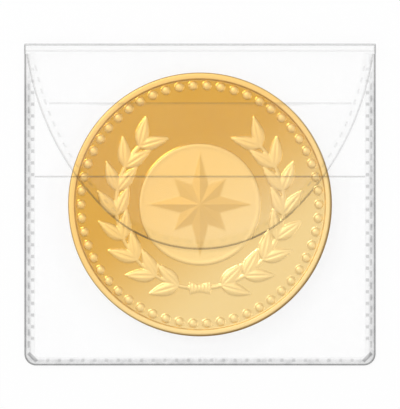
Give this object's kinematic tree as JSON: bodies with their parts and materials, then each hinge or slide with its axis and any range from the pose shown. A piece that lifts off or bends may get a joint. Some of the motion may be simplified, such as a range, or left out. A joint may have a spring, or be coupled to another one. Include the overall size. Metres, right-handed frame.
{
  "type": "coin holder flip",
  "caption": "Clear vinyl coin pouch with welded edges, a mouth in its front film and a round flap that folds over from the back, holding a gold-coloured coin.",
  "frame": {"origin": "middle of the pouch's back, on the surface it lies on", "axes": "+X across the pouch to its right side, +Y towards the fold of the flap, +Z out of the front"},
  "size_m": [0.06, 0.055, 0.0036],
  "materials": {
    "clear_film": "gloss",
    "welded_film": "satin",
    "gold": "polished"
  },
  "bodies": {
    "pouch": {"back_sheet": "clear_film", "front_panel": "clear_film", "edge_weld": "welded_film", "fold_hinge": "clear_film"},
    "flap": {"flap_sheet": "clear_film", "flap_lining": "clear_film", "flap_weld": "welded_film"},
    "coin": {"coin": "gold"}
  },
  "joints": [
    {"name": "flap_hinge", "type": "hinge", "parent": "pouch", "child": "flap", "pos_m": [0, 0.02573, 0.00178], "axis": [-1, 0, 0], "range_deg": [0, 178], "deforming": ["fold_hinge"]},
    {"name": "coin_slide", "type": "slide", "parent": "pouch", "child": "coin", "axis": [0, 1, 0], "range_m": [0, 0.0029]}
  ]
}
